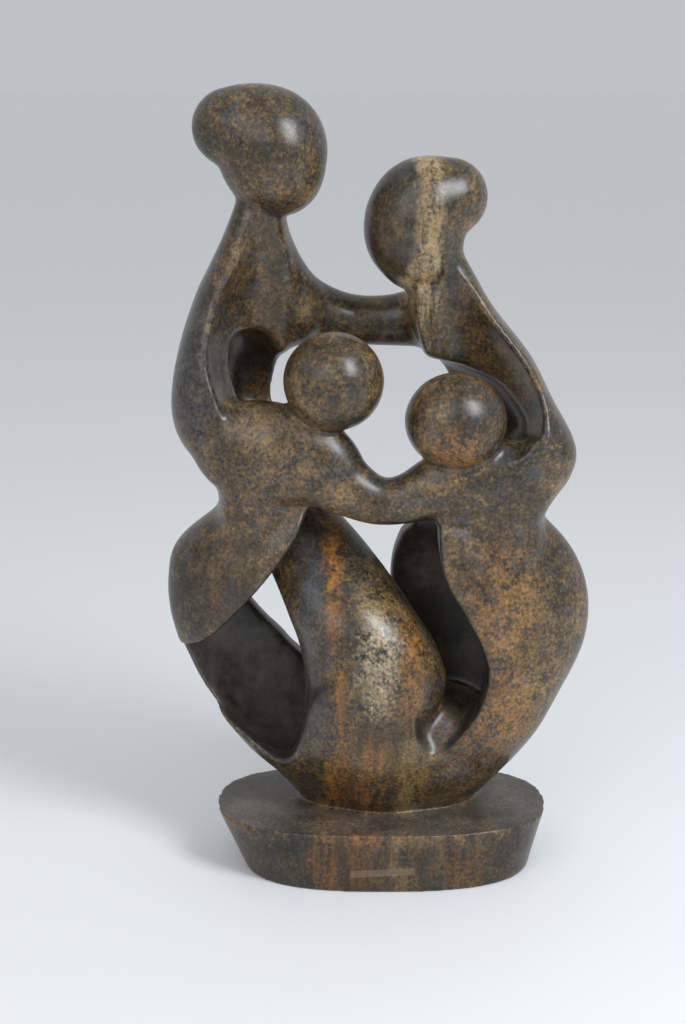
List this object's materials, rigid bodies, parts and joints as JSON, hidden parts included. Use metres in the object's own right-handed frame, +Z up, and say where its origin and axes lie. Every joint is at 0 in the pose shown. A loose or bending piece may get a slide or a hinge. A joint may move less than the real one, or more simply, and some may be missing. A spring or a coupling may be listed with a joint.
{
  "type": "stone figure group sculpture",
  "caption": "Polished stone sculpture of an abstract embracing family with smooth round heads, pierced by openings and carved together with its low plinth.",
  "frame": {"origin": "middle of the plinth's flat underside", "axes": "+Z up, the front of the group towards -Y, +X to the right as seen from the front"},
  "size_m": [0.1669, 0.0753, 0.3083],
  "materials": {
    "stone": "polished"
  },
  "bodies": {
    "root": {"figure_group": "stone"}
  },
  "joints": []
}
